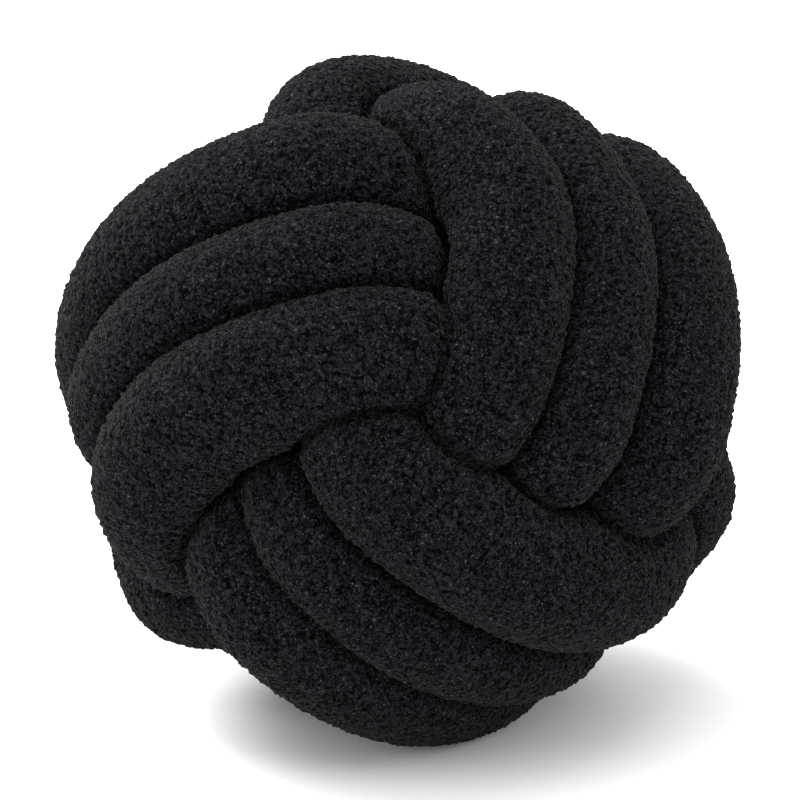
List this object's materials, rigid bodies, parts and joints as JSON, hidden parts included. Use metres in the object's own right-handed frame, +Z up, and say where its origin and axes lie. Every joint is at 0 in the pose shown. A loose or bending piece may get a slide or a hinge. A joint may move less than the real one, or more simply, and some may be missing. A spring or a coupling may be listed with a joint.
{
  "type": "knot cushion",
  "caption": "Round stuffed cushion knotted from a thick black boucle tube; its fat turns weave over and under each other into a ball.",
  "frame": {"origin": "middle of the footprint, on the surface that the cushion rests on", "axes": "+Z up; -Y towards the front, where the upper front corner of the knot, with its three bands meeting, faces; +X to the right as seen from the front"},
  "size_m": [0.2974, 0.3022, 0.2872],
  "materials": {
    "boucle": "matt black boucle with small soft curls and a faint brown-grey sheen on its edges"
  },
  "bodies": {
    "root": {"knot": "boucle"}
  },
  "joints": []
}
